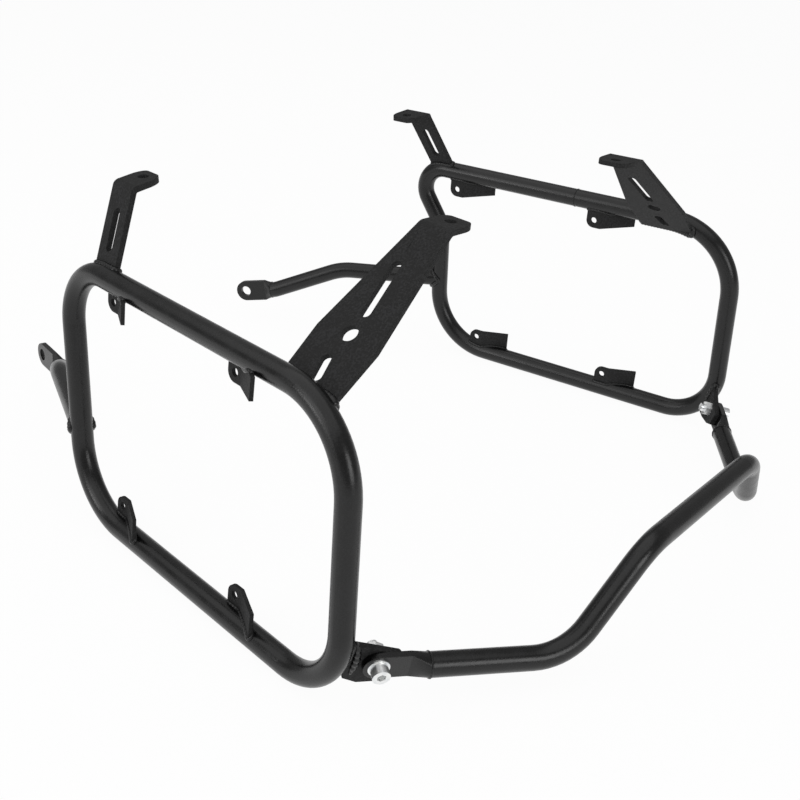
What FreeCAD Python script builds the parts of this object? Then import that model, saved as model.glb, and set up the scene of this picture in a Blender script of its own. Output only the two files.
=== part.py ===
"""Motorbike pannier rack: two side hoops with straps, tabs and arms, joined by a rear crossbar. Millimetres."""
import math
import os

import FreeCAD
import Part

V = FreeCAD.Vector

# Tubes, and the small step where a flattened end begins
tube_od = 18.5
tube_r = tube_od / 2
mouth_step = 0.05

# Hoop plane: half the width at its lower rear corner, and how far it toes in and leans in, in degrees
rear_half_width = 309.8
rear_corner_back = 221.0
toe_in = 7.6
lean_in = 3.4

# Hoop corners as (forward, share of the hoop height, bend radius of the tube axis), from the rear corner round
hoop_height = 212.1
top_fall = 0.0087
hoop_corners = {
    "left": [(-1.0, 0, 52.0), (17.8, 1, 67.0), (361.5, 1, 46.0), (329.5, 0, 66.0)],
    "right": [(3.0, 0, 51.0), (15.0, 1, 73.0), (395.0, 1, 24.0), (349.5, 0.674, 40.0), (345.0, 0, 66.0)],
}

# Front strap: bar standing on the top tube, leaning in and raked forward, folded inward into an ear
front_place = {"left": 306.4, "right": 350.9}
front_thickness = 5.0
front_width = 27.0
front_height = 69.0
front_lean = 28.0
front_rake = 0.31
front_fold_radius = 4.5
front_ear_length = 26.5
front_ear_rake = 0.22
front_ear_tilt = {"left": 6.0, "right": -8.0}
front_ear_hole_at = 16.0
front_ear_hole = 9.0
front_slot_width = 7.5
front_slot_from = 22.7
front_slot_to = 49.5

# Rear strap: plate lapped on the inner side of the top tube, tapered, folded inward into an ear
rear_place = {"left": 71.4, "right": 85.4}
rear_thickness = 4.0
rear_lap_below = 1.5
rear_lap_bite = 0.8
rear_base = 54.0
rear_shoulder = 59.0
rear_shoulder_at = 47.0
rear_top = 31.0
rear_length = 150.0
rear_lean = 54.0
rear_rake = {"left": 0.07, "right": 0.1}
rear_fold_radius = 6.0
rear_ear_length = {"left": 24.0, "right": 31.0}
rear_ear_hole_from_tip = 11.0
rear_ear_hole = 9.0
rear_slot_width = 8.0
rear_slot_from = 70.0
rear_slot_to = 111.0
rear_slot_lead = 5.5
rear_hole = 13.0
rear_hole_at = 51.0
rear_short_slot_from = 14.0
rear_short_slot_to = 27.0
rear_short_slot_lead = 2.0

# Tabs: ear beside the tube with a hole, and a leaf folded outward and rearward across the tube
tab_places = {
    "left": {"upper_front": 299.0, "upper_rear": 140.7, "lower_front": 277.5, "lower_rear": 122.6},
    "right": {"upper_front": 331.3, "upper_rear": 165.7, "lower_front": 290.1, "lower_rear": 130.9},
}
tab_thickness = 3.0
tab_ear_inside = 4.5
tab_ear_radius = 8.0
tab_hole = 6.6
tab_hole_height = 18.5
tab_fold_behind = 7.0
tab_leaf_foot = 4.0
tab_leaf_length = {"upper": 36.5, "lower": 30.5}
tab_leaf_angle = {"upper": 28.0, "lower": 24.0}
tab_leaf_end_height = {"upper": 21.5, "lower": 26.0}

# Support arm: from the front leg forward to a flattened eye, with insets measured from the rear half width
arm_foot_height = {"left": 66.0, "right": 77.0}
arm_bend_inset = {"left": 106.5, "right": 105.8}
arm_bend_forward = {"left": 445.7, "right": 451.0}
arm_bend_height = {"left": 64.3, "right": 69.5}
arm_bend_radius = 75.0
arm_neck_inset = {"left": 153.4, "right": 149.2}
arm_neck_forward = {"left": 509.3, "right": 517.6}
arm_neck_height = {"left": 25.9, "right": 34.2}
arm_neck_radius = 20.0
arm_mouth_run = 1.0
arm_eye_inset = 163.6
arm_eye_forward = 552.0
arm_eye_height = 26.3
arm_eye_radius = 12.0
arm_eye_hole = 12.0
arm_flat_thickness = 5.0
arm_blend_length = 9.0

# Crossbar: bends of each half, from the middle run over the riser to the end run
bar_high_half_width = {"left": 92.8, "right": 96.0}
bar_high_back = {"left": 109.5, "right": 111.5}
bar_high_height = {"left": 80.0, "right": 78.5}
bar_high_radius = {"left": 45.0, "right": 38.0}
bar_low_radius = {"left": 55.0, "right": 50.0}
bar_end_run = {"left": 126.3, "right": 134.0}
bar_end_inset = 42.9
bar_end_back = 20.0
bar_end_height = 19.6
bar_end_heading = 35.5
bar_end_climb = 4.3
bar_flat_thickness = 5.0
bar_flat_height = 21.4
bar_flat_lift = 2.7
bar_flat_tilt = 12.0
bar_tube_short = 20.0
bar_blend_length = 15.0
bolt_along = 18.0
bolt_above = 4.0

# Bracket behind the bar end, as (along the end run, up) from the end point
bracket_thickness = 5.0
bracket_outline = {
    "left": [(40, 22), (2, 10), (0, 8), (0, -4), (5, -12), (16, -17.5), (29, -17.5), (40, -12)],
    "right": [(40, 22), (2, 10), (0, 8), (0, -4), (10, -8.5), (29, -12), (40, -12)],
}

# Bolt, washer and nut
bolt_d = 8.0
bolt_clearance = 0.5
washer_clearance = 0.4
head_d = 13.0
head_h = 8.0
socket_af = 6.0
socket_depth = 4.0
washer_od = 16.0
washer_t = 1.6
nut_af = 13.0
nut_h = 6.5
thread_end = 4.0

# Directions of the right hoop plane and of its top tube, and the move to the part's own origin
toe = math.radians(toe_in)
lean = math.radians(lean_in)
out_dir = V(math.cos(lean) * math.cos(toe), math.cos(lean) * math.sin(toe), math.sin(lean))
fore_dir = V(-math.sin(toe), math.cos(toe), 0)
up_dir = out_dir.cross(fore_dir)
top_dir = (fore_dir - up_dir * top_fall).normalize()
top_in = V(0, 0, 1).cross(top_dir).normalize()
top_up = top_dir.cross(top_in)
to_origin = V(0, -rear_corner_back, tube_r)

# End point of the bar on the bracket, and its directions: along the tube, up the flat and out through the bolt
bar_end_point = V(rear_half_width - bar_end_inset, -bar_end_back, bar_end_height)
heading = math.radians(bar_end_heading)
climb = math.radians(bar_end_climb)
end_dir = V(math.cos(climb) * math.cos(heading), math.cos(climb) * math.sin(heading), math.sin(climb))
flat_out = end_dir.cross(V(0, 0, 1)).normalize()
flat_up = flat_out.cross(end_dir)
tilt = math.radians(bar_flat_tilt)
bolt_out = flat_out * math.cos(tilt) - flat_up * math.sin(tilt)
bolt_up = flat_up * math.cos(tilt) + flat_out * math.sin(tilt)


def axes(origin, x_dir, y_dir):
    """Placement with the given origin, x axis and y axis."""
    x = V(x_dir).normalize()
    z = x.cross(y_dir).normalize()
    y = z.cross(x)
    rows = (x.x, y.x, z.x, origin.x, x.y, y.y, z.y, origin.y, x.z, y.z, z.z, origin.z, 0, 0, 0, 1)
    return FreeCAD.Placement(FreeCAD.Matrix(*rows))


def top_height(forward):
    """Height of the top tube axis above the lower one."""
    return hoop_height - top_fall * forward


def on_hoop(forward, height, outward=0.0):
    """Point from distances in the plane of the right hoop."""
    corner = V(rear_half_width, 0, 0)
    return corner + fore_dir * forward + up_dir * height + out_dir * outward


def on_end(along, up=0.0, out=0.0):
    """Point from distances along the bar end, up its flat and out through it."""
    return bar_end_point + end_dir * along + bolt_up * up + bolt_out * out


def bend_path(points, radii, closed=False):
    """Edges of a path through the points with each corner rounded."""
    count = len(points)
    starts = list(points)
    ends = list(points)
    arcs = {}
    for i in range(count):
        if not closed and i in (0, count - 1):
            continue
        p = points[i]
        a = (points[i - 1] - p).normalize()
        b = (points[(i + 1) % count] - p).normalize()
        half = a.getAngle(b) / 2
        middle = (a + b).normalize()
        centre = p + middle * (radii[i] / math.sin(half))
        starts[i] = p + a * (radii[i] / math.tan(half))
        ends[i] = p + b * (radii[i] / math.tan(half))
        arcs[i] = Part.Arc(starts[i], centre - middle * radii[i], ends[i]).toShape()
    edges = []
    for i in range(count):
        if i in arcs:
            edges.append(arcs[i])
        if closed or i < count - 1:
            edges.append(Part.makeLine(ends[i], starts[(i + 1) % count]))
    return edges


def tube_along(edges):
    """Round tube swept edge by edge and joined into one solid."""
    runs = []
    for edge in edges:
        first = edge.FirstParameter
        along = edge.tangentAt(first)
        disc = Part.Face(Part.Wire([Part.makeCircle(tube_r, edge.valueAt(first), along)]))
        if edge.Curve.TypeId == "Part::GeomCircle":
            turn = math.degrees(edge.LastParameter - first)
            runs.append(disc.revolve(edge.Curve.Center, edge.Curve.Axis, turn))
        else:
            runs.append(disc.extrude(along * edge.Length))
    return runs[0].multiFuse(runs[1:]).removeSplitter()


def plate(outline, thickness):
    """Flat plate of the outline in the xy plane, thickness centred on it."""
    points = [V(x, y, -thickness / 2) for x, y in outline]
    return Part.Face(Part.makePolygon(points + points[:1])).extrude(V(0, 0, thickness))


def drill(x, y, diameter, depth=40.0):
    """Round cutter along z."""
    return Part.makeCylinder(diameter / 2, depth, V(x, y, -depth / 2))


def slot(x0, y0, x1, y1, width, depth=40.0):
    """Slot cutter along z between two centres."""
    side = V(y0 - y1, x1 - x0, 0).normalize() * (width / 2)
    outline = [
        (x0 + side.x, y0 + side.y),
        (x1 + side.x, y1 + side.y),
        (x1 - side.x, y1 - side.y),
        (x0 - side.x, y0 - side.y),
    ]
    ends = [drill(x0, y0, width, depth), drill(x1, y1, width, depth)]
    return plate(outline, depth).multiFuse(ends).removeSplitter()


def main_solid(shape):
    """Largest solid left after a cut."""
    return max(shape.Solids, key=lambda solid: solid.Volume)


def hoop(side):
    """Closed side loop."""
    corners = hoop_corners[side]
    points = [on_hoop(forward, share * top_height(forward)) for forward, share, _ in corners]
    return tube_along(bend_path(points, [corner[2] for corner in corners], True))


def ear_outline(middle, half, low, length, rake):
    """Ear from the fold line to a rounded tip, drawn on beside the strap."""
    points = [(middle - half, low), (middle + half, low)]
    sides = []
    for step in range(9):
        a = math.radians(90 * step / 8)
        sides.append((half * (0.5 + 0.5 * math.cos(a)), length * (0.45 + 0.55 * math.sin(a))))
    points += [(middle + rake * y + x, low + y) for x, y in sides]
    points += [(middle + rake * y - x, low + y) for x, y in reversed(sides)]
    return points


def folded_strap(flat, ear, half, middle, height, thickness, radius, turn):
    """Flat strap and flat ear joined by a fold at the height, turned inward by the angle in degrees."""
    hinge = V(0, height, -radius)
    t = thickness / 2
    corners = [(middle - half, -t), (middle + half, -t), (middle + half, t), (middle - half, t)]
    points = [V(x, height, z) for x, z in corners]
    fold = Part.Face(Part.makePolygon(points + points[:1])).revolve(hinge, V(-1, 0, 0), turn)
    ear.rotate(hinge, V(-1, 0, 0), turn)
    return flat.multiFuse([fold, ear]).removeSplitter()


def stand_on_top(strap, place, lean_angle, offset):
    """Moves a strap from its own plane onto the top tube, leaning in by the angle."""
    a = math.radians(lean_angle)
    rise = top_up * math.cos(a) + top_in * math.sin(a)
    face_out = top_dir.cross(rise)
    base = on_hoop(place, top_height(place)) + face_out * offset
    strap.Placement = axes(base, top_dir, rise)
    return strap


def front_strap(side, tube):
    """Raked bar with a slot, standing on the top tube."""
    half = front_width / 2
    shift = front_rake * front_height
    outline = [(-half, 0), (half, 0), (half + shift, front_height), (-half + shift, front_height)]
    x0 = front_rake * front_slot_from
    x1 = front_rake * front_slot_to
    flat = plate(outline, front_thickness).cut(slot(x0, front_slot_from, x1, front_slot_to, front_slot_width))
    ear = plate(ear_outline(shift, half, front_height, front_ear_length, front_ear_rake), front_thickness)
    hole_x = shift + front_ear_rake * front_ear_hole_at
    ear = ear.cut(drill(hole_x, front_height + front_ear_hole_at, front_ear_hole))
    turn = 90 - front_lean - front_ear_tilt[side]
    strap = folded_strap(flat, ear, half, shift, front_height, front_thickness, front_fold_radius, turn)
    return main_solid(stand_on_top(strap, front_place[side], front_lean, 0).cut(tube))


def rear_strap(side, tube):
    """Tapered plate with two slots and a hole, lapped on the inner side of the top tube."""
    rake = rear_rake[side]
    half = rear_top / 2
    shift = rake * rear_length
    wide = rear_shoulder / 2
    bend = rake * rear_shoulder_at
    outline = [
        (-rear_base / 2, -rear_lap_below),
        (rear_base / 2, -rear_lap_below),
        (wide + bend, rear_shoulder_at),
        (half + shift, rear_length),
        (-half + shift, rear_length),
        (-wide + bend, rear_shoulder_at),
    ]
    flat = plate(outline, rear_thickness)
    x0 = rake * rear_slot_from
    x1 = rake * rear_slot_to + rear_slot_lead
    flat = flat.cut(slot(x0, rear_slot_from, x1, rear_slot_to, rear_slot_width))
    flat = flat.cut(drill(rake * rear_hole_at, rear_hole_at, rear_hole))
    x1 = rake * rear_short_slot_to + rear_short_slot_lead
    flat = flat.cut(slot(0, rear_short_slot_from, x1, rear_short_slot_to, rear_slot_width))
    length = rear_ear_length[side]
    ear = plate(ear_outline(shift, half, rear_length, length, rake), rear_thickness)
    reach = length - rear_ear_hole_from_tip
    ear = ear.cut(drill(shift + rake * reach, rear_length + reach, rear_ear_hole))
    turn = 90 - rear_lean
    strap = folded_strap(flat, ear, half, shift, rear_length, rear_thickness, rear_fold_radius, turn)
    offset = rear_lap_bite - tube_r - rear_thickness / 2
    return main_solid(stand_on_top(strap, rear_place[side], rear_lean, offset).cut(tube))


def tab(name, forward, tube):
    """Folded tab, standing up from the lower tube or hanging from the top tube."""
    kind = name.split("_")[0]
    height = top_height(forward) if kind == "upper" else 0
    up = -1 if kind == "upper" else 1
    top = tab_hole_height + tab_ear_radius
    back = -tab_fold_behind
    ear = plate([(back, 0), (tab_ear_radius, 0), (tab_ear_radius, tab_hole_height), (back, top)], tab_thickness)
    ear = ear.fuse(plate([(back, 0), (0, 0), (0, top), (back, top)], tab_thickness))
    ear = ear.fuse(drill(0, tab_hole_height, 2 * tab_ear_radius, tab_thickness))
    ear = ear.cut(drill(0, tab_hole_height, tab_hole))
    end = -tab_leaf_length[kind]
    end_height = tab_leaf_end_height[kind]
    leaf = plate([(0, tab_leaf_foot), (0, top), (end, end_height), (end, tab_leaf_foot)], tab_thickness)
    fold = Part.makeCylinder(tab_thickness / 2, top - tab_leaf_foot, V(0, tab_leaf_foot, 0), V(0, 1, 0))
    leaf = leaf.fuse(fold)
    leaf.rotate(V(0, 0, 0), V(0, 1, 0), tab_leaf_angle[kind] * up)
    leaf.translate(V(back, 0, 0))
    joined = ear.fuse(leaf).removeSplitter()
    joined.Placement = axes(on_hoop(forward, height, -tab_ear_inside), fore_dir, up_dir * up)
    return main_solid(joined.cut(tube))


def flat_end(reach, half, lift, thickness, blend):
    """Flattened tube end along x: round mouth at -blend, flat from 0, rounded tip at the reach."""
    r = tube_r - mouth_step
    a = r * math.sqrt(0.5)
    t = thickness / 2
    signs = ((1, 1), (1, -1), (-1, -1), (-1, 1))
    middles = ((1, 0), (0, -1), (-1, 0), (0, 1))
    ring = [V(-blend, a * y, a * z) for y, z in signs]
    over = [V(-blend, r * y, r * z) for y, z in middles]
    frame = [V(0, lift + half * y, t * z) for y, z in signs]
    arcs = [Part.Arc(ring[i], over[i], ring[(i + 1) % 4]).toShape() for i in range(4)]
    lines = [Part.makeLine(frame[i], frame[(i + 1) % 4]) for i in range(4)]
    neck = Part.makeLoft([Part.Wire(arcs), Part.Wire(lines)], True, True)
    if neck.Volume < 0:
        neck.reverse()
    flat = plate([(0, lift - half), (reach, lift - half), (reach, lift + half), (0, lift + half)], thickness)
    return neck.multiFuse([flat, drill(reach, lift, 2 * half, thickness)]).removeSplitter()


def arm(side, tube):
    """Bent arm from the front leg to its flattened eye."""
    low = hoop_corners[side][-1]
    high = hoop_corners[side][-2]
    height = arm_foot_height[side]
    rise = high[1] * top_height(high[0])
    foot = on_hoop(low[0] + (high[0] - low[0]) * height / rise, height)
    bend = V(rear_half_width - arm_bend_inset[side], arm_bend_forward[side], arm_bend_height[side])
    neck = V(rear_half_width - arm_neck_inset[side], arm_neck_forward[side], arm_neck_height[side])
    tip = V(rear_half_width - arm_eye_inset, arm_eye_forward, arm_eye_height) - neck
    span = tip.Length
    along = tip.normalize()
    turn = (neck - bend).getAngle(along)
    start = arm_neck_radius * math.tan(turn / 2) + arm_mouth_run
    mouth = neck + along * start
    body = tube_along(bend_path([foot, bend, neck, mouth], [0, arm_bend_radius, arm_neck_radius, 0]))
    reach = span - start - arm_blend_length
    eye = flat_end(reach, arm_eye_radius, 0, arm_flat_thickness, arm_blend_length)
    eye = eye.cut(drill(reach, 0, arm_eye_hole))
    eye.Placement = axes(mouth + along * arm_blend_length, along, V(0, 0, 1))
    return main_solid(body.fuse(eye).removeSplitter().cut(tube))


def bolt_hole():
    """Cutter for the bolt through the bar end and its bracket."""
    depth = 40.0
    start = on_end(bolt_along, bolt_above, -depth / 2)
    return Part.makeCylinder((bolt_d + bolt_clearance) / 2, depth, start, bolt_out)


def bar_bends(side):
    """High bend, low bend and tube end of one half, drawn on the right."""
    high = V(bar_high_half_width[side], -bar_high_back[side], bar_high_height[side])
    return [high, on_end(-bar_end_run[side]), on_end(-bar_tube_short)]


def crossbar():
    """Whole bar: end runs, risers and middle run, with both ends flattened and drilled."""
    flip = FreeCAD.Matrix()
    flip.scale(-1, 1, 1)
    left = [flip.multVec(point) for point in bar_bends("left")]
    points = left[::-1] + bar_bends("right")
    left_radii = [0, bar_low_radius["left"], bar_high_radius["left"]]
    right_radii = [bar_high_radius["right"], bar_low_radius["right"], 0]
    body = tube_along(bend_path(points, left_radii + right_radii))
    flat_from = bar_blend_length - bar_tube_short
    reach = bolt_along - flat_from
    end = flat_end(reach, bar_flat_height / 2, bar_flat_lift, bar_flat_thickness, bar_blend_length)
    end.Placement = axes(on_end(flat_from), end_dir, bolt_up)
    end = end.cut(bolt_hole())
    return body.multiFuse([end, mirrored(end)]).removeSplitter()


def bracket(side, tube):
    """Plate welded to the lower rear corner, behind the bar end."""
    points = [on_end(along, up, -bar_flat_thickness / 2) for along, up in bracket_outline[side]]
    body = Part.Face(Part.makePolygon(points + points[:1])).extrude(bolt_out * -bracket_thickness)
    return main_solid(body.cut(bolt_hole()).cut(tube))


def hexagon(across_flats, start, height):
    """Hexagonal prism along the bolt."""
    r = across_flats / math.sqrt(3)
    points = []
    for i in range(6):
        a = math.radians(60 * i + 30)
        points.append(start + end_dir * (r * math.cos(a)) + bolt_up * (r * math.sin(a)))
    return Part.Face(Part.makePolygon(points + points[:1])).extrude(bolt_out * height)


def bolt_point(out):
    """Point on the bolt axis."""
    return on_end(bolt_along, bolt_above, out)


def fasteners():
    """Bolt, washer and nut of the right bracket."""
    face = bar_flat_thickness / 2
    back = -face - bracket_thickness
    seat = face + washer_t
    end = back - nut_h - thread_end
    shank = Part.makeCylinder(bolt_d / 2, seat - end, bolt_point(end), bolt_out)
    head = Part.makeCylinder(head_d / 2, head_h, bolt_point(seat), bolt_out)
    socket = hexagon(socket_af, bolt_point(seat + head_h - socket_depth), socket_depth)
    bolt = shank.fuse(head).removeSplitter().cut(socket)
    washer = Part.makeCylinder(washer_od / 2, washer_t, bolt_point(face), bolt_out)
    washer = washer.cut(Part.makeCylinder((bolt_d + washer_clearance) / 2, washer_t, bolt_point(face), bolt_out))
    nut = hexagon(nut_af, bolt_point(back - nut_h), nut_h)
    nut = nut.cut(Part.makeCylinder(bolt_d / 2, nut_h, bolt_point(back - nut_h), bolt_out))
    return {"bolts": bolt, "washers": washer, "nuts": nut}


def mirrored(shape):
    """Same piece on the left side."""
    return shape.mirror(V(0, 0, 0), V(1, 0, 0))


parts = {}
for side in ("left", "right"):
    tube = hoop(side)
    made = {
        "hoop": tube,
        "front_strap": front_strap(side, tube),
        "rear_strap": rear_strap(side, tube),
        "support_arm": arm(side, tube),
        "crossbar_bracket": bracket(side, tube),
    }
    for name, forward in tab_places[side].items():
        made[name + "_tab"] = tab(name, forward, tube)
    for name, shape in made.items():
        parts[side + "_" + name] = mirrored(shape) if side == "left" else shape

parts["rear_crossbar"] = crossbar()
for name, shape in fasteners().items():
    parts["bracket_" + name] = Part.Compound([mirrored(shape), shape])

os.makedirs("parts", exist_ok=True)
for name, shape in parts.items():
    shape.translate(to_origin)
    shape.exportStep("parts/" + name + ".step")
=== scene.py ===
# %% [markdown]
# # A pannier rack in black powder coat
# The rack is two bent tube hoops, one for each side of a motorbike, with sheet steel straps and tabs
# welded on and a bent bar bolted across the tail. The CAD gives every solid. What the CAD leaves out is
# the surface: the weld beads along each joint, the grain of the coat and the shine of the zinc bolts.

# %% The frame
import math

import bpy
import numpy as np
from mathutils import Matrix, Vector
from mathutils.bvhtree import BVHTree


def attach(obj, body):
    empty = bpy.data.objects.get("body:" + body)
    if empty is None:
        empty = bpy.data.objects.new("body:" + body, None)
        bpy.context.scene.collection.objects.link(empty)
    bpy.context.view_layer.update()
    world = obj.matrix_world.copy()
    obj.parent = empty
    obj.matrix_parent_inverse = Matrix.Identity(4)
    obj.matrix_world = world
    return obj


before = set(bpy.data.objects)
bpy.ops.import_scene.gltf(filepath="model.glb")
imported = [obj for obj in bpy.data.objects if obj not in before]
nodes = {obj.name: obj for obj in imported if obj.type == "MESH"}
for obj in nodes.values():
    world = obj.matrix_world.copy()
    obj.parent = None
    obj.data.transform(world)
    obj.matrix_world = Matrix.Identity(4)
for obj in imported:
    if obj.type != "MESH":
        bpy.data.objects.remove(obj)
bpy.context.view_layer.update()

# %% [markdown]
# ## The camera
# The photo looks down on the rack from its left rear. The place, the turn and the lens were found by
# matching the hoops' corners and the tabs in the photo to the model, so the render can be laid over it.

# %% Camera
camera_place = Vector((-0.76468, -0.58222, 0.52783))
heading = math.radians(53.885)
pitch = math.radians(-26.064)
roll = math.radians(5.239)

flat = math.cos(pitch)
forward = Vector((math.sin(heading) * flat, math.cos(heading) * flat, math.sin(pitch)))
level = Vector((math.cos(heading), -math.sin(heading), 0))
right = level * math.cos(roll) + level.cross(forward) * math.sin(roll)
upward = right.cross(forward)

camera = bpy.data.objects.new("camera", bpy.data.cameras.new("camera"))
camera.data.sensor_width = 36
camera.data.lens = 49.56
turn = Matrix((right, upward, -forward)).transposed()
camera.matrix_world = Matrix.Translation(camera_place) @ turn.to_4x4()
bpy.context.collection.objects.link(camera)
bpy.context.scene.camera = camera
bpy.context.scene.view_settings.view_transform = "Standard"
print("camera at", tuple(camera_place))

# %% [markdown]
# ## Materials from nodes
# A colour is written as it shows on a screen, in sRGB, and the shader wants linear light, so one function
# converts it. One more adds a node with its settings and links, and every material is a few calls of it.

# %% Helpers for materials
def linear(text):
    """Linear RGBA of an sRGB hex colour: each channel v becomes ((v + 0.055) / 1.055) to the power 2.4."""
    v = np.array([int(text[i:i + 2], 16) for i in (1, 3, 5)]) / 255
    v = np.where(v <= 0.04045, v / 12.92, ((v + 0.055) / 1.055) ** 2.4)
    return (*v.tolist(), 1.0)


def add(tree, kind, inputs=(), **settings):
    """A node with its settings, and each input linked to a socket or set to a value."""
    node = tree.nodes.new(kind)
    for name, value in settings.items():
        setattr(node, name, value)
    for name, value in dict(inputs).items():
        if isinstance(value, bpy.types.NodeSocket):
            tree.links.new(value, node.inputs[name])
        else:
            node.inputs[name].default_value = value
    return node


def new_tree(name):
    """A material with an empty node tree."""
    material = bpy.data.materials.new(name)
    material.use_nodes = True
    material.node_tree.nodes.clear()
    return material, material.node_tree


# %% [markdown]
# ## Satin black powder coat
# Powder is sprayed dry on the steel and melted in an oven. It flows into a skin with a fine orange peel, so
# the highlights along the tubes are soft and a little grainy. Real grain is about half a millimetre; it is
# drawn at 1.3 mm and 1.6 mm here, because a pixel covers about one millimetre. Flat plates catch more
# powder than round tubes, so their grain stands higher and looks duller. The eye reads the tubes as a hard
# black that shines where a lamp is, and the plates as a matt one.

# %% Powder coat
edge_round = 0.0009
blotch_size = 0.012
patchiness = 0.04


def powder_coat(name, grain_size, height, dullness, light):
    """Black skin: grain size and height in metres, a middle roughness and the grain's lightest tone."""
    material, tree = new_tree(name)
    place = add(tree, "ShaderNodeTexCoord").outputs["Object"]
    grain = add(tree, "ShaderNodeTexNoise", {"Vector": place, "Scale": 1 / grain_size, "Detail": 2.0})
    blotch = add(tree, "ShaderNodeTexNoise", {"Vector": place, "Scale": 1 / blotch_size, "Detail": 3.0})
    # Powder lies thicker in some places, so the grain is lighter there
    depth = add(tree, "ShaderNodeMath", {0: blotch.outputs["Fac"], 1: 0.6, 2: grain.outputs["Fac"]},
                operation="MULTIPLY_ADD")
    tint = add(tree, "ShaderNodeValToRGB", {"Fac": depth.outputs[0]})
    tint.color_ramp.elements[0].position = 0.74
    tint.color_ramp.elements[0].color = linear("#030303")
    tint.color_ramp.elements[1].position = 0.96
    tint.color_ramp.elements[1].color = linear(light)
    rough = add(tree, "ShaderNodeMapRange", {
        "Value": blotch.outputs["Fac"], "From Min": 0.3, "From Max": 0.7,
        "To Min": dullness - patchiness, "To Max": dullness + patchiness})
    # The powder rounds every sheet edge, and the rounding catches a thin line of light
    soft = add(tree, "ShaderNodeBevel", {"Radius": edge_round}, samples=4)
    peel = add(tree, "ShaderNodeBump", {
        "Height": grain.outputs["Fac"], "Strength": 1.0, "Distance": height,
        "Normal": soft.outputs["Normal"]})
    shade = add(tree, "ShaderNodeBsdfPrincipled", {
        "Base Color": tint.outputs["Color"], "Roughness": rough.outputs["Result"],
        "Normal": peel.outputs["Normal"], "IOR": 1.46})
    add(tree, "ShaderNodeOutputMaterial", {"Surface": shade.outputs["BSDF"]})
    return material


tube_coat = powder_coat("black_powder_coat_on_tube", 0.0013, 0.00006, 0.27, "#0f0f10")
plate_coat = powder_coat("black_powder_coat_on_plate", 0.0016, 0.00030, 0.74, "#1e1e1f")
print("made", tube_coat.name, "and", plate_coat.name)

# %% [markdown]
# ## Bright zinc
# The bolts, washers and nuts are zinc plated steel. The plating is thin and bright with a faint cloud. It
# mirrors the white floor, so these are the only light spots on the rack.

# %% Zinc
cloud_size = 0.004

zinc, tree = new_tree("bright_zinc_plate")
place = add(tree, "ShaderNodeTexCoord").outputs["Object"]
cloud = add(tree, "ShaderNodeTexNoise", {"Vector": place, "Scale": 1 / cloud_size, "Detail": 3.0})
tint = add(tree, "ShaderNodeValToRGB", {"Fac": cloud.outputs["Fac"]})
tint.color_ramp.elements[0].position = 0.3
tint.color_ramp.elements[0].color = linear("#e4e6e8")
tint.color_ramp.elements[1].position = 0.7
tint.color_ramp.elements[1].color = linear("#f8f8f6")
rough = add(tree, "ShaderNodeMapRange", {"Value": cloud.outputs["Fac"], "To Min": 0.30, "To Max": 0.44})
shade = add(tree, "ShaderNodeBsdfPrincipled", {
    "Base Color": tint.outputs["Color"], "Metallic": 1.0, "Roughness": rough.outputs["Result"]})
add(tree, "ShaderNodeOutputMaterial", {"Surface": shade.outputs["BSDF"]})

fasteners = ("bracket_bolts", "bracket_washers", "bracket_nuts")
for name, node in nodes.items():
    node.data.materials.clear()
    coat = tube_coat if name.endswith(("hoop", "arm", "crossbar")) else plate_coat
    node.data.materials.append(zinc if name in fasteners else coat)
print("made", zinc.name, "for", len(fasteners), "nodes")

# %% [markdown]
# ## Where a weld runs
# A weld follows the line where two pieces meet. Here it is measured, not drawn: the triangles of a strap
# that lie on the tube form a patch, and the rim of the patch is the seam. The search tree answers for one
# point at a time, so the points are asked in turn.

# %% Seam of two nodes
touch = 0.0003
search_reach = 0.05


def world_mesh(node):
    """Corners and triangles of a node in the row frame, with corners at the same place merged."""
    mesh = node.data
    mesh.calc_loop_triangles()
    spots = np.empty(len(mesh.vertices) * 3)
    mesh.vertices.foreach_get("co", spots)
    turn = np.array(node.matrix_world)
    spots = spots.reshape(-1, 3) @ turn[:3, :3].T + turn[:3, 3]
    faces = np.empty(len(mesh.loop_triangles) * 3, dtype=np.int64)
    mesh.loop_triangles.foreach_get("vertices", faces)
    merged, index = np.unique(np.round(spots, 7), axis=0, return_inverse=True)
    return merged, index.reshape(-1)[faces].reshape(-1, 3)


def seam(node, carrier):
    """Rim of the patch of one node that lies on its carrier: closed rows of points, longest first."""
    spots, faces = world_mesh(node)
    base, base_faces = world_mesh(carrier)
    tree = BVHTree.FromPolygons(base.tolist(), base_faces.tolist())
    middles = spots[faces].mean(axis=1)
    near = np.array([tree.find_nearest(Vector(m), search_reach)[3] or 1.0 for m in middles])
    corners = np.array([tree.find_nearest(Vector(p), search_reach)[3] or 1.0 for p in spots])
    patch = faces[(near < touch) & (corners[faces].max(axis=1) < touch)]
    sides = np.concatenate([patch[:, [0, 1]], patch[:, [1, 2]], patch[:, [2, 0]]])
    follow = {}
    pairs = {tuple(side) for side in sides.tolist()}
    for a, b in pairs:
        if (b, a) not in pairs:
            follow[a] = b
    rims = []
    while follow:
        start, step = follow.popitem()
        rim = [start]
        while step != start and step in follow:
            rim.append(step)
            step = follow.pop(step)
        rims.append(spots[rim])
    return sorted(rims, key=len, reverse=True), tree


# %% [markdown]
# ## Weld beads
# A bead is a row of small frozen puddles, about three millimetres apart. Its surface is a circle carried
# along the seam, with a radius that swells and shrinks with the puddles. Half of it is sunk in the two
# pieces.

# %% Bead along a seam
bead_radius = {
    "front_strap": 0.0021, "rear_strap": 0.0032, "support_arm": 0.0025, "crossbar_bracket": 0.0032}
tab_bead_radius = 0.0015
puddle_pitch = 0.0034
bead_step = 0.0007
circle_points = 12
circle = np.linspace(0, 2 * np.pi, circle_points, endpoint=False)[None, :, None]


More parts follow.
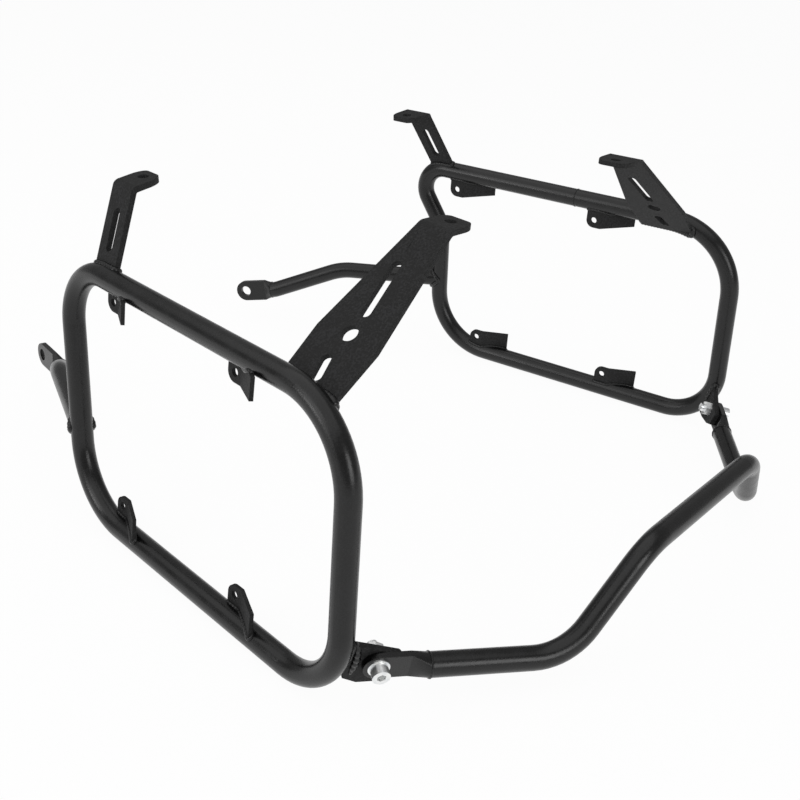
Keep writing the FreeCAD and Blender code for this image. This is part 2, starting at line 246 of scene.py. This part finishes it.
def tube_quads(rows, closed):
    """Faces between neighbouring circles of a grid, with the last circle joined to the first if closed."""
    i, j = np.meshgrid(np.arange(rows if closed else rows - 1), np.arange(circle_points), indexing="ij")
    row, next_row = i * circle_points, (i + 1) % rows * circle_points
    j2 = (j + 1) % circle_points
    return np.stack([row + j, row + j2, next_row + j2, next_row + j], axis=-1).reshape(-1, 4).tolist()


def add_piece(name, spots, faces, coat):
    """A smooth mesh in the row frame that rides on the rack's only body."""
    mesh = bpy.data.meshes.new(name)
    mesh.from_pydata(spots.tolist(), [], faces)
    mesh.polygons.foreach_set("use_smooth", np.ones(len(faces), dtype=bool))
    mesh.materials.append(coat)
    piece = bpy.data.objects.new(name, mesh)
    bpy.context.collection.objects.link(piece)
    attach(piece, "root")
    return piece


def bead(name, rim, tree, radius):
    """Radius times (1 + 0.16 |sin(pi s / pitch)|) round the seam at arc length s, closed both ways."""
    ahead = np.roll(rim, -1, axis=0)
    run = np.concatenate([[0], np.cumsum(np.linalg.norm(ahead - rim, axis=1))])
    count = max(24, int(run[-1] / bead_step))
    s = np.linspace(0, run[-1], count, endpoint=False)
    closed = np.concatenate([rim, rim[:1]])
    line = np.stack([np.interp(s, run, closed[:, i]) for i in range(3)], axis=1)
    for _ in range(3):
        line = (np.roll(line, 1, axis=0) + line * 2 + np.roll(line, -1, axis=0)) / 4
    along = np.roll(line, -1, axis=0) - np.roll(line, 1, axis=0)
    along /= np.linalg.norm(along, axis=1)[:, None]
    out = np.array([tree.find_nearest(Vector(p))[1] for p in line])
    out -= along * (out * along).sum(axis=1)[:, None]
    out /= np.linalg.norm(out, axis=1)[:, None]
    side = np.cross(along, out)
    puddles = max(1, round(run[-1] / puddle_pitch))
    swell = radius * (1 + 0.16 * np.abs(np.sin(np.pi * puddles * s / run[-1])))
    round_line = np.cos(circle) * out[:, None] + np.sin(circle) * side[:, None]
    grid = line[:, None] + swell[:, None, None] * round_line
    piece = add_piece(name, grid.reshape(-1, 3), tube_quads(count, True), tube_coat)
    return piece, run[-1]


welded = ("front_strap", "rear_strap", "upper_front_tab", "upper_rear_tab", "lower_front_tab",
          "lower_rear_tab", "support_arm", "crossbar_bracket")
for hand in ("left", "right"):
    for kind in welded:
        rims, tree = seam(nodes[f"{hand}_{kind}"], nodes[f"{hand}_hoop"])
        piece, length = bead(f"{hand}_{kind}_weld", rims[0], tree, bead_radius.get(kind, tab_bead_radius))
        print(piece.name, "rims", len(rims), "seam", round(length * 1000, 1), "mm")

# %% [markdown]
# ## Crimps and the seam of the tube
# The ends of the bar and of the arms are pressed flat. The press leaves a raised rim where the round tube
# stops, and the right hoop's own tube is closed by a thin butt seam. Each is a circle round the tube's
# axis, dressed as a low bead.

# %% Rings round a tube
tube_radius = 0.00925


def ring(middle, axis):
    """Circle of the tube's radius about the axis: middle + r (cos t, sin t) in the plane across it."""
    ahead = np.array(Vector(axis).normalized())
    side = np.cross(ahead, [0, 0, 1])
    side /= np.linalg.norm(side)
    t = np.linspace(0, 2 * np.pi, 96, endpoint=False)[:, None]
    return np.array(middle) + tube_radius * (np.cos(t) * side + np.sin(t) * np.cross(ahead, side))


rings = {
    "left_bar_crimp": (
        "rear_crossbar", (-0.25066, -0.25258, 0.02735), (-0.812, 0.579, 0.075), 0.0007),
    "right_bar_crimp": (
        "rear_crossbar", (0.25066, -0.25258, 0.02735), (0.812, 0.579, 0.075), 0.0007),
    "left_arm_crimp": (
        "left_support_arm", (-0.15472, 0.29531, 0.03522), (0.2323, 0.9726, 0.0091), 0.0006),
    "right_arm_crimp": (
        "right_support_arm", (0.15919, 0.29996, 0.04268), (-0.3778, 0.9024, -0.2072), 0.0006),
    "right_hoop_seam": (
        "right_hoop", (0.2723, -0.0343, 0.21935), (-0.1323, 0.9912, -0.0087), 0.0005),
}
for name, (carrier, middle, axis, radius) in rings.items():
    base, base_faces = world_mesh(nodes[carrier])
    tree = BVHTree.FromPolygons(base.tolist(), base_faces.tolist())
    piece, length = bead(name, ring(middle, axis), tree, radius)
    print(piece.name, round(length * 1000, 1), "mm round")

# %% [markdown]
# ## Weld runs at the brackets and a press line
# The bracket of the bar is held by a short thick weld on each face, laid by hand along the hoop's corner.
# The left rear strap carries a faint raised line from its fold to its long slot, left by the press. Both are
# one kind of surface: a circle carried along an open line, shrinking to a closed tip at each end.

# %% Runs along an open line
run_stations = 60


def run_along(name, points, radius, lumps, coat):
    """Radius times sqrt(sin(pi t)) times (1 + 0.25 |sin(pi lumps t)|) about a line through the points."""
    points = np.array(points)
    reach = np.concatenate([[0], np.cumsum(np.linalg.norm(np.diff(points, axis=0), axis=1))])
    t = np.linspace(0, 1, run_stations)
    line = np.stack([np.interp(t * reach[-1], reach, points[:, k]) for k in range(3)], axis=1)
    for _ in range(4):
        line[1:-1] = (line[:-2] + line[1:-1] * 2 + line[2:]) / 4
    ahead = np.gradient(line, axis=0)
    ahead /= np.linalg.norm(ahead, axis=1)[:, None]
    side = np.cross(ahead, [1, 0, 0])
    side /= np.linalg.norm(side, axis=1)[:, None]
    over = np.cross(ahead, side)
    lumpy = 1 + 0.25 * np.abs(np.sin(np.pi * lumps * t))
    size = (radius * np.sqrt(np.sin(np.pi * t)) * lumpy)[1:-1]
    round_line = np.cos(circle) * side[1:-1, None] + np.sin(circle) * over[1:-1, None]
    grid = line[1:-1, None] + size[:, None, None] * round_line
    spots = np.concatenate([grid.reshape(-1, 3), line[[0, -1]]])
    k = np.arange(circle_points)
    k2 = (k + 1) % circle_points
    tip = len(size) * circle_points
    last = tip - circle_points
    first_fan = np.stack([0 * k + tip, k2, k], axis=1).tolist()
    last_fan = np.stack([0 * k + tip + 1, last + k, last + k2], axis=1).tolist()
    piece = add_piece(name, spots, tube_quads(len(size), False) + first_fan + last_fan, coat)
    return piece, reach[-1]


bracket_run_radius = 0.0024
bracket_run_lumps = 7
rear_face = [(0.2955, -0.2224, 0.0565), (0.2938, -0.2229, 0.0476), (0.2930, -0.2219, 0.0415),
             (0.2928, -0.2204, 0.0353), (0.2932, -0.2185, 0.0293), (0.2936, -0.2167, 0.0231)]
front_face = [(0.2972, -0.2185, 0.0580), (0.2960, -0.2175, 0.0530), (0.2942, -0.2170, 0.0480),
              (0.2941, -0.2148, 0.0418), (0.2935, -0.2133, 0.0342)]
for hand, mirror in (("left", -1), ("right", 1)):
    for face, points in (("rear", rear_face), ("front", front_face)):
        points = np.array(points) * [mirror, 1, 1]
        piece, length = run_along(f"{hand}_bracket_{face}_weld", points, bracket_run_radius,
                                  bracket_run_lumps, tube_coat)
        print(piece.name, round(length * 1000, 1), "mm long")

press_line_radius = 0.0007
press_line_sunk = 0.0003
face_out = np.array([-0.5817, 0.0844, 0.8090])
line_ends = np.array([(-0.16272, -0.14720, 0.29946), (-0.18643, -0.15040, 0.28275)])
piece, length = run_along("left_rear_strap_press_line", line_ends - face_out * press_line_sunk,
                          press_line_radius, 0, plate_coat)
print(piece.name, round(length * 1000, 1), "mm long")

# %% [markdown]
# ## A plain white studio
# The rack stands on a white floor under a wide soft lamp, in a plain grey room. Black paint shows what it
# mirrors, so the shape of each tube is read from the lamp above, the floor below and the dimmer room
# between the two. Smaller lamps on the left and at the tail draw the thin lines of light.

# %% Floor
floor_half = 30.0
floor_drop = 0.0005
white_share = 0.95

floor_mesh = bpy.data.meshes.new("floor")
corners = [(-floor_half, -floor_half, 0), (floor_half, -floor_half, 0),
           (floor_half, floor_half, 0), (-floor_half, floor_half, 0)]
floor_mesh.from_pydata(corners, [], [(0, 1, 2, 3)])
floor = bpy.data.objects.new("floor", floor_mesh)
bpy.context.collection.objects.link(floor)
floor.location.z = -floor_drop
paper, tree = new_tree("white_paper")
# White where the camera, a mirror or a glass looks; paper where light falls, so a faint shadow stays
path = add(tree, "ShaderNodeLightPath").outputs
seen = add(tree, "ShaderNodeMath", {0: path["Is Camera Ray"], 1: path["Is Glossy Ray"]}, operation="ADD")
seen = add(tree, "ShaderNodeMath", {0: seen.outputs[0], 1: path["Is Transmission Ray"]},
           operation="ADD", use_clamp=True)
share = add(tree, "ShaderNodeMath", {0: seen.outputs[0], 1: white_share}, operation="MULTIPLY")
matt = add(tree, "ShaderNodeBsdfDiffuse", {"Color": linear("#fafafa")})
white = add(tree, "ShaderNodeEmission", {"Color": (1, 1, 1, 1), "Strength": 1.0})
both = add(tree, "ShaderNodeMixShader", {0: share.outputs[0], 1: matt.outputs[0], 2: white.outputs[0]})
add(tree, "ShaderNodeOutputMaterial", {"Surface": both.outputs[0]})
floor_mesh.materials.append(paper)
print("floor", floor_half * 2, "m wide")

# %% Room and lamps
room_level = 0.36

world = bpy.data.worlds.new("pale_room")
bpy.context.scene.world = world
world.use_nodes = True
tree = world.node_tree
tree.nodes.clear()
room = add(tree, "ShaderNodeBackground", {"Color": (1, 1, 1, 1), "Strength": room_level})
add(tree, "ShaderNodeOutputWorld", {"Surface": room.outputs[0]})


def lamp(name, place, aim, size, power):
    """A square soft lamp turned to its aim."""
    light = bpy.data.lights.new(name, "AREA")
    light.shape = "SQUARE"
    light.size = size
    light.energy = power
    thing = bpy.data.objects.new(name, light)
    away = Vector(place) - Vector(aim)
    thing.matrix_world = Matrix.Translation(place) @ away.to_track_quat("Z", "Y").to_matrix().to_4x4()
    bpy.context.collection.objects.link(thing)


lamps = {
    "lamp_above": ((-0.6, 0.2, 2.2), (0, 0, 0.1), 3.8, 33),
    "lamp_strip": ((-1.95, 0.85, 0.6), (0.2, 0, 0.15), 0.5, 3),
    "lamp_side": ((-2.2, 0.6, 1.1), (0, 0, 0.15), 1.4, 9),
    "lamp_rear": ((-0.5, -2.3, 0.9), (0, -0.2, 0.1), 1.0, 11),
}
for name, (place, aim, size, power) in lamps.items():
    lamp(name, place, aim, size, power)
print("room and", len(lamps), "lamps")
